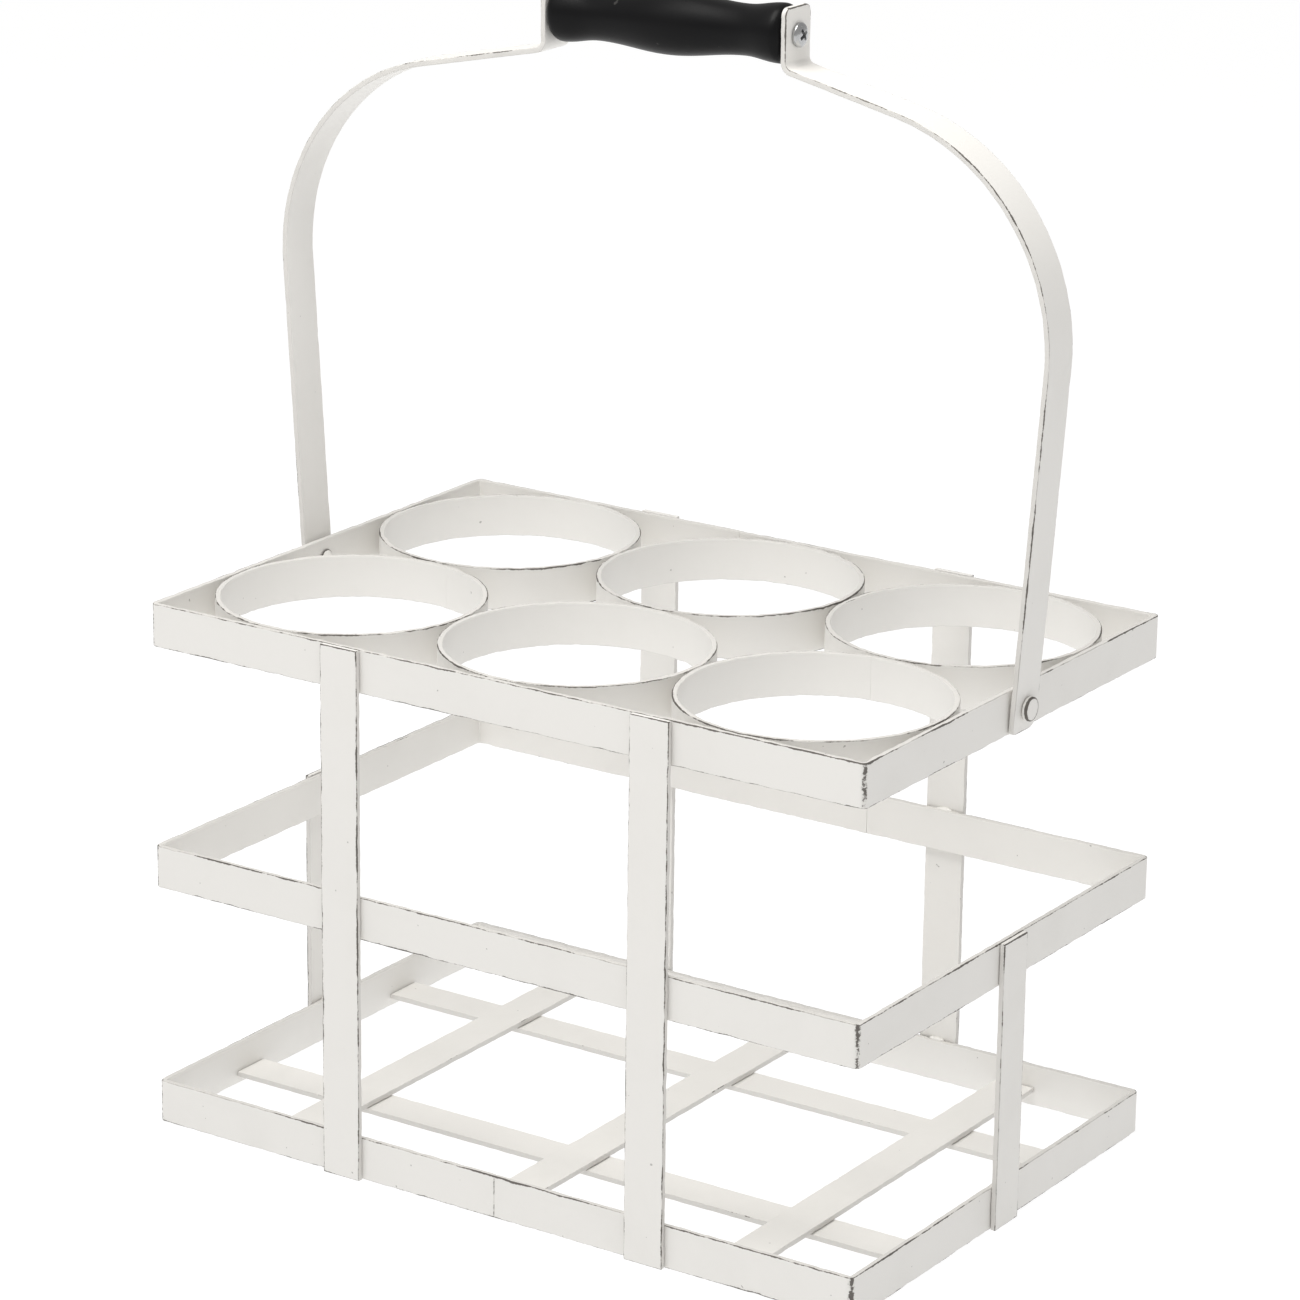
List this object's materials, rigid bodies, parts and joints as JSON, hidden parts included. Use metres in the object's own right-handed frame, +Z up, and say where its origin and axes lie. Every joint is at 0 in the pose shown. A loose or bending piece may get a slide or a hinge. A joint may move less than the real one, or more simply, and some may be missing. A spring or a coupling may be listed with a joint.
{
  "type": "milk bottle crate",
  "caption": "Open flat-bar steel crate that stands round bottles in rings over a slatted floor, with a swinging bail handle and a turned wooden grip.",
  "frame": {"origin": "centre of the crate's length and width, at the level that it stands on", "axes": "+X along the crate's length, +Y from front to rear, +Z up"},
  "size_m": [0.322, 0.206, 0.4243],
  "materials": {
    "white_paint": "off-white satin paint, rubbed through to dark steel along the edges",
    "black_wood": "turned wood in black satin lacquer",
    "zinc_plate": "bright zinc plate"
  },
  "bodies": {
    "crate": {"top_frame": "white_paint", "middle_frame": "white_paint", "bottom_frame": "white_paint", "front_left_ring": "white_paint", "front_middle_ring": "white_paint", "front_right_ring": "white_paint", "rear_left_ring": "white_paint", "rear_middle_ring": "white_paint", "rear_right_ring": "white_paint", "front_left_post": "white_paint", "front_right_post": "white_paint", "rear_left_post": "white_paint", "rear_right_post": "white_paint", "left_side_post": "white_paint", "right_side_post": "white_paint", "front_floor_slat": "white_paint", "rear_floor_slat": "white_paint", "left_cross_slat": "white_paint", "middle_cross_slat": "white_paint", "right_cross_slat": "white_paint", "left_pivot_rivet": "white_paint", "right_pivot_rivet": "white_paint"},
    "bail": {"left_bail_arm": "white_paint", "right_bail_arm": "white_paint"},
    "grip": {"grip": "black_wood", "left_grip_screw": "zinc_plate", "right_grip_screw": "zinc_plate"}
  },
  "joints": [
    {"name": "bail_swing", "type": "hinge", "parent": "crate", "child": "bail", "pos_m": [0, 0, 0.1925], "axis": [1, 0, 0], "range_deg": [-140, 140]},
    {"name": "grip_spin", "type": "hinge", "parent": "bail", "child": "grip", "pos_m": [0.0045, 0, 0.41245], "axis": [0.9994, 0, 0.0333], "continuous": true}
  ]
}
